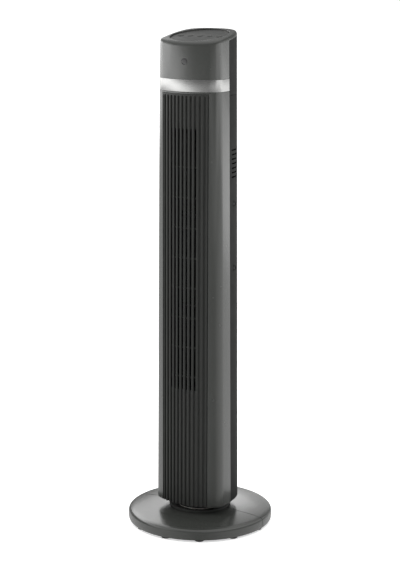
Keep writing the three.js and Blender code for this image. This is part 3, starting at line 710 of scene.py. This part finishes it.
def intake_slots():
    """Tiers of upright slots through the back."""
    tier = (INTAKE_TOP - INTAKE_BOTTOM + INTAKE_BAR) / INTAKE_TIERS
    slot = rounded_slot(tier - INTAKE_BAR, INTAKE_WIDTH, 30 * MM, 100 * MM)
    turn = Matrix.Rotation(-math.pi / 2, 4, "X") @ Matrix.Rotation(math.pi / 2, 4, "Z")
    slots = []
    for row in range(INTAKE_TIERS):
        middle = INTAKE_BOTTOM + row * tier + (tier - INTAKE_BAR) / 2
        for column in range(INTAKE_COLUMNS):
            x = (column - (INTAKE_COLUMNS - 1) / 2) * INTAKE_PITCH
            slots.append(placed(slot, Matrix.Translation((x, 0, middle)) @ turn))
    return merged(*slots)


def flank_slots():
    """Rows of level slots through both sides."""
    slot = rounded_slot(FLANK_LENGTH, FLANK_HEIGHT, 55 * MM, 100 * MM)
    slots = []
    for row in range(FLANK_ROWS):
        z = FLANK_BOTTOM + FLANK_PITCH * row + FLANK_HEIGHT / 2
        for sign in (-1, 1):
            turn = Matrix.Rotation(sign * math.pi / 2, 4, "Y") @ Matrix.Rotation(math.pi / 2, 4, "Z")
            slots.append(placed(slot, Matrix.Translation((0, FLANK_MIDDLE, z)) @ turn))
    return merged(*slots)


def build_rear_shell():
    low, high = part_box("rear_shell")
    loop = wall_loop(0, WALL, SEAM_Y + GAP / 2, False)
    shell = mesh_object("rear_cover", prism(loop, low.z, high.z, 0.5 * MM, 3, flared))
    carve(shell, "DIFFERENCE", intake_slots(), flank_slots())
    boss = turned(in_mm([(6, -9), (6, -1)]), 32)
    recess = turned(in_mm([(3.6, -4), (3.6, -0.7), (3.8, -0.3), (4.4, 0.05), (4.4, 5)]), 32)
    bore = turned(in_mm([(1.8, -20), (1.8, -1)]), 20)
    places = [side_place(sign, z) for z in SCREW_HEIGHTS for sign in (-1, 1)]
    carve(shell, "UNION", merged(*(placed(boss, place) for place in places)))
    for tool in (recess, bore):
        carve(shell, "DIFFERENCE", merged(*(placed(tool, place) for place in places)))
    dressed(shell, "tower", matte_shell, "matte_shell", "rear_shell", sharp=30)


def build_screws():
    """Pan heads with a cross recess."""
    profile = [(0, -12), (1.5, -12), (1.5, -3.7), (3.0, -3.7)]
    profile += [(3.0, -2.9), (2.7, -2.3), (1.9, -1.8), (0, -1.5)]
    blank = turned(in_mm(profile), 32)
    long, short, deep = 1.6 * MM, 0.35 * MM, 2.6 * MM
    cross = [box_shape((-long, -short, -deep), (long, short, 0)),
             box_shape((-short, -long, -deep), (short, long, 0))]
    for side, sign in (("left", -1), ("right", 1)):
        for row, z in enumerate(SCREW_HEIGHTS, 1):
            place = side_place(sign, z)
            node = f"shell_screw_{side}_{row}"
            screw = mesh_object(node + "_head", placed(blank, place))
            carve(screw, "DIFFERENCE", *(placed(arm, place) for arm in cross))
            dressed(screw, "tower", black_zinc, "zinc_steel", node)


def build_band():
    low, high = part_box("metal_band")
    loop = wall_loop(0, BAND_THICKNESS, SEAM_Y - GAP / 2, True)
    band = mesh_object("aluminium_band", prism(loop, low.z, high.z, 0.35 * MM, 3, flared))
    dressed(band, "tower", brushed_band, "brushed_band", "metal_band")


# ---------------------------------------------------------------- head

TOP_LIFT = (OVAL_CENTRE + FRONT * depth_scale(TOP_FRONT)) * math.tan(RAKE)
TOP_ORIGIN = Vector((0, OVAL_CENTRE, TOP_FRONT + TOP_LIFT))
TOP_PLACE = Matrix.Translation(TOP_ORIGIN) @ Matrix.Rotation(RAKE, 4, "X")


def on_top(point):
    """A point of the head's outline, lifted onto the raked top and drawn in by the flare."""
    lift = (point.y + FRONT) * depth_scale(TOP_FRONT) * math.tan(RAKE)
    return flared(point.x, point.y, TOP_FRONT + lift)


def oval(grow, height, count_like):
    """The oval's rim in the raked frame, a point for each outline point, in the same order."""
    ring = []
    for point in count_like:
        local = TOP_PLACE.inverted() @ on_top(point)
        angle = math.atan2(local.y / OVAL_Y, local.x / OVAL_X)
        x, y = (OVAL_X + grow) * math.cos(angle), (OVAL_Y + grow) * math.sin(angle)
        ring.append(TOP_PLACE @ Vector((x, y, height)))
    return ring


def lowered(point, drop):
    return Vector((point.x, point.y, point.z - drop))


def head_rings(bottom, wall):
    """Closed rings round the head's wall, top and oval seat, outside first."""
    base = outline(0)
    rings = [[flared(p.x, p.y, bottom) for p in base]]
    for t in spread(7, 0, math.pi / 2):
        inset = TOP_ROUND * (1 - math.cos(t))
        drop = TOP_ROUND * (1 - math.sin(t))
        rings.append([lowered(on_top(p), drop) for p in outline(inset)])
    edge = rings[-1]
    lip = 0.9 * MM
    mouth = oval(lip, 0, base)
    for share in (0.35, 0.7):
        rings.append([a.lerp(b, share) for a, b in zip(edge, mouth)])
    for t in spread(5, 0, math.pi / 2):
        rings.append(oval(lip * (1 - math.sin(t)), -lip * (1 - math.cos(t)), base))
    seat = -(OVAL_RECESS + OVAL_PLATE + GAP)
    rings.append(oval(0, seat, base))
    rings.append(oval(-OVAL_LEDGE, seat, base))
    rings.append(oval(-OVAL_LEDGE, seat - WALL, base))
    rings.append(oval(2 * MM, seat - WALL, base))
    rings.append(oval(2 * MM, -3.2 * MM, base))
    rings.append([lowered(on_top(p), TOP_ROUND - 0.5 * MM) for p in outline(TOP_ROUND - 1.5 * MM)])
    rings.append([lowered(on_top(p), TOP_ROUND + 2 * MM) for p in outline(wall)])
    rings.append([flared(p.x, p.y, bottom) for p in outline(wall)])
    return rings


def raked_slab(low, high):
    """A wide slab between two heights of the raked frame."""
    return placed(box_shape((-FAR, -FAR, low), (FAR, FAR, high)), TOP_PLACE)


def build_head():
    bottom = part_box("metal_band")[1].z + GAP
    skirt_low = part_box("metal_band")[0].z
    shell = mesh_object("head_shell", loft(head_rings(bottom, WALL), closed=True))
    behind = box_shape((-FAR, SEAM_Y - GAP / 2, 850 * MM), (FAR, FAR, 1200 * MM))
    tool = mesh_object("tool_behind", behind)
    carve(tool, "INTERSECT", raked_slab(-FAR, -RIM_DEPTH))
    cutter = ([v.co.copy() for v in tool.data.vertices], [tuple(p.vertices) for p in tool.data.polygons])
    bpy.data.objects.remove(tool)
    carve(shell, "DIFFERENCE", cutter)
    skirt = wall_loop(1.7 * MM, 4.2 * MM, SEAM_Y - GAP / 2, True)
    carve(shell, "UNION", prism(skirt, skirt_low, bottom + MM, 0, 3, flared))
    low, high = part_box("ir_window")
    eye = Vector(((low.x + high.x) / 2, 0, (low.z + high.z) / 2))
    turn = Matrix.Translation(eye) @ Matrix.Rotation(math.pi / 2, 4, "X")
    front = FRONT * depth_scale(eye.z)
    hole = [(6.3 * MM, front - 12 * MM), (6.3 * MM, front - 0.5 * MM), (6.5 * MM, front + 5 * MM)]
    carve(shell, "DIFFERENCE", placed(turned(hole, 56), turn))
    softened(shell, 0.3 * MM, 50)
    dressed(shell, "tower", gloss_shell, "gloss_shell", "head_front_shell")

    lens_profile = [(0, front - 3 * MM), (6.1 * MM, front - 3 * MM), (6.1 * MM, front - 0.5 * MM)]
    crown = in_mm([(5.9, 0.35), (5.4, 0.25), (3, 0.2), (0, 0.15)])
    lens_profile += [(radius, front - depth) for radius, depth in crown]
    lens = mesh_object("ir_lens", placed(turned(lens_profile, 56), turn))
    dressed(lens, "tower", lens_black, "black_moulding", "ir_window")


def build_rear_cover():
    low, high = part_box("head_rear_cover")
    loop = wall_loop(0, WALL, SEAM_Y + GAP / 2, False)
    cover = mesh_object("head_back", prism(loop, low.z, high.z + 0.05, 0.4 * MM, 3, flared))
    carve(cover, "DIFFERENCE", raked_slab(-RIM_DEPTH - GAP, 0.3))
    softened(cover, 0.3 * MM, 50)
    dressed(cover, "tower", matte_shell, "matte_shell", "head_rear_cover")


def button_place(i):
    """The frame of the button at place i in the row, in the raked top."""
    return TOP_PLACE @ Matrix.Translation(((i - len(BUTTONS) // 2) * BUTTON_PITCH, 0, 0))


def build_panel():
    under = -(OVAL_RECESS + OVAL_PLATE)
    loop = [Vector(((OVAL_X - GAP) * math.cos(a), (OVAL_Y - GAP) * math.sin(a)))
            for a in spread(160, 0, 2 * math.pi)[:-1]]
    plate = mesh_object("panel_plate", placed(prism(loop, under, -OVAL_RECESS, 0.4 * MM), TOP_PLACE))
    legs, holes = [], []
    for x in (-38 * MM, 38 * MM):
        for y in (-18 * MM, 18 * MM):
            leg = turned([(2.5 * MM, -10.7 * MM), (2.5 * MM, under + MM)], 24)
            legs.append(placed(leg, TOP_PLACE @ Matrix.Translation((x, y, 0))))
    top = -OVAL_RECESS / MM
    well = turned(in_mm([(6.15, -8), (6.15, top - 0.15), (6.25, top + 0.05), (6.25, top + 2)]), 48)
    for i in range(len(BUTTONS)):
        holes.append(placed(well, button_place(i)))
    carve(plate, "UNION", merged(*legs))
    carve(plate, "DIFFERENCE", merged(*holes))
    dressed(plate, "tower", panel_face, "black_moulding", "control_panel")


def build_buttons():
    under = (OVAL_RECESS + OVAL_PLATE) / MM
    crown = -OVAL_RECESS / MM + 1
    profile = [(0, -under - 2), (7.4, -under - 2), (7.4, -under - 0.4)]
    profile += [(6.0, -under - 0.4), (6.0, crown - 0.8)]
    profile += arc_points((5.2, crown - 0.8), 0.8, 0, 80, 5)
    profile += [(4.4, crown - 0.06), (2.5, crown - 0.22), (0, crown - 0.3)]
    cap = turned(in_mm(profile), 56)
    for i, name in enumerate(BUTTONS):
        key = mesh_object(f"{name}_key_cap", placed(cap, button_place(i)))
        # the caps' lighter satin colour is painted light
        dressed(key, f"{name}_key", button_cap_painted_light, "satin_shell", f"{name}_button")


# ---------------------------------------------------------------- stage


def emitter(name, location, target, size, radiance):
    data = bpy.data.lights.new(name, "AREA")
    data.shape = "RECTANGLE"
    data.size, data.size_y = size
    data.energy = radiance * size[0] * size[1] * 4
    light = bpy.data.objects.new(name, data)
    light.location = location
    light.rotation_euler = (Vector(target) - Vector(location)).to_track_quat("-Z", "Z").to_euler()
    light.visible_camera = False
    bpy.context.scene.collection.objects.link(light)


# Upright softboxes standing round the fan: (azimuth from the camera's in degrees, radiance).
SOFTBOXES = [
    (-176, 0.6), (-152, 1.7), (-128, 1.2), (-104, 1.1), (-80, 0.9), (-56, 0.3),
    (40, 0.6), (64, 0.65), (88, 0.75), (112, 0.45),
]
SOFTBOX_REACH = 1.35
SOFTBOX_HEIGHT = 2.2
SOFTBOX_SPACING = math.radians(24)
SOFTBOX_FILL = 0.92        # share of its spacing that a softbox fills


def build_floor():
    """A pale sweep of floor. It stays out of reflections, which see the studio's sides instead."""
    corners = [(-30, -30, 0), (30, -30, 0), (30, 30, 0), (-30, 30, 0)]
    floor = mesh_object("floor", (corners, [(0, 1, 2, 3)]))
    n = Nodes("floor_paper")
    n.link(n.ramp(n.noise(3, 2), (0.90, 0.90, 0.90), (0.92, 0.92, 0.92)), n.shader.inputs["Base Color"])
    n.set(Roughness=0.9, Emission_Color=(1, 1, 1, 1), Emission_Strength=0.45)
    floor.data.materials.append(n.material)
    floor.visible_glossy = False


def map_range(tree, source, low, high, start, end):
    node = tree.nodes.new("ShaderNodeMapRange")
    values = {"From Min": low, "From Max": high, "To Min": start, "To Max": end}
    for name, value in values.items():
        node.inputs[name].default_value = value
    tree.links.new(source, node.inputs["Value"])
    return node.outputs["Result"]


def arithmetic(tree, operation, *sources):
    node = tree.nodes.new("ShaderNodeMath")
    node.operation = operation
    for source, target in zip(sources, node.inputs):
        tree.links.new(source, target)
    return node.outputs["Value"]


def build_world():
    """A bright ceiling, a dim horizon, and pale sides low down to the camera's left and right."""
    world = bpy.data.worlds.new("studio")
    bpy.context.scene.world = world
    world.use_nodes = True
    tree = world.node_tree
    direction = tree.nodes.new("ShaderNodeTexCoord").outputs["Generated"]
    split = tree.nodes.new("ShaderNodeSeparateXYZ")
    tree.links.new(direction, split.inputs["Vector"])
    height = split.outputs["Z"]
    across = tree.nodes.new("ShaderNodeVectorMath")
    across.operation = "DOT_PRODUCT"
    across.inputs[1].default_value = (math.cos(AZIMUTH), math.sin(AZIMUTH), 0)
    tree.links.new(direction, across.inputs[0])
    sideways = arithmetic(tree, "ABSOLUTE", across.outputs["Value"])
    ceiling = map_range(tree, height, 0.45, 0.95, 0.3, 1.5)
    low_sides = arithmetic(tree, "MULTIPLY", sideways, map_range(tree, height, 0.05, -0.1, 0, 1.1))
    studio = arithmetic(tree, "ADD", ceiling, low_sides)
    seen = tree.nodes.new("ShaderNodeLightPath").outputs["Is Camera Ray"]
    background = tree.nodes["Background"]
    background.inputs["Color"].default_value = (1, 1, 1, 1)
    tree.links.new(arithmetic(tree, "MAXIMUM", studio, seen), background.inputs["Strength"])


def build_lights():
    width = 2 * SOFTBOX_REACH * math.tan(SOFTBOX_SPACING / 2) * SOFTBOX_FILL
    for i, (azimuth, radiance) in enumerate(SOFTBOXES, 1):
        turn = AZIMUTH + math.radians(azimuth)
        x, y = SOFTBOX_REACH * math.sin(turn), -SOFTBOX_REACH * math.cos(turn)
        middle = SOFTBOX_HEIGHT / 2 - 0.1
        emitter(f"softbox_{i}", (x, y, middle), (0, 0, middle), (width, SOFTBOX_HEIGHT), radiance)
    bpy.context.scene.view_settings.view_transform = "Standard"


# ---------------------------------------------------------------- build

dress_cad_nodes()
build_base()
build_collar()
build_feet()
build_front_shell()
build_grille()
build_rear_shell()
build_screws()
build_band()
build_head()
build_rear_cover()
build_panel()
build_buttons()
build_floor()
build_world()
build_lights()
